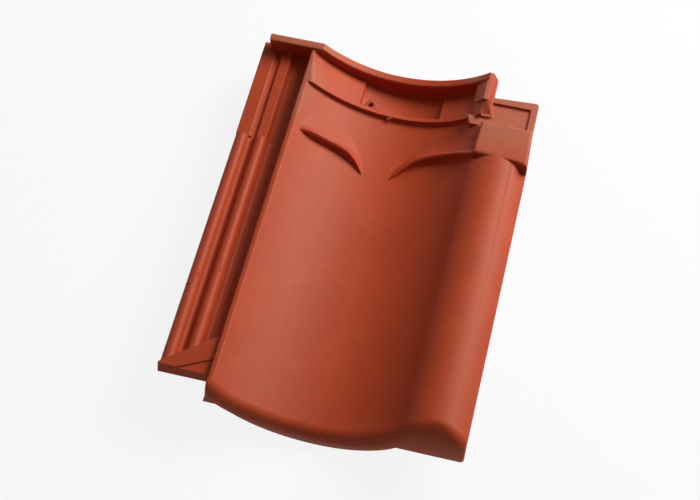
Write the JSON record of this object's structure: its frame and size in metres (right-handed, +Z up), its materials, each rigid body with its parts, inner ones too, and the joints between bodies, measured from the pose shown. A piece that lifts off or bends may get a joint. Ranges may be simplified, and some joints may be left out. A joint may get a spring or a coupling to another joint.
{
  "type": "clay roof tile",
  "caption": "Interlocking clay pantile with an S-shaped pan, ribbed side gutter, raised head rim, curved weather bars, nail hole and hanging nibs, natural red",
  "frame": {"origin": "bottom centre of the bounding box, on the floor the tile lies on", "axes": "+X across the tile toward the roll, +Y up the slope toward the head, +Z up out of the weather face"},
  "size_m": [0.2598, 0.36, 0.0598],
  "materials": {
    "fired_clay": "satin-matte natural red fired clay"
  },
  "bodies": {
    "root": {"roof_tile": "fired_clay"}
  },
  "joints": []
}
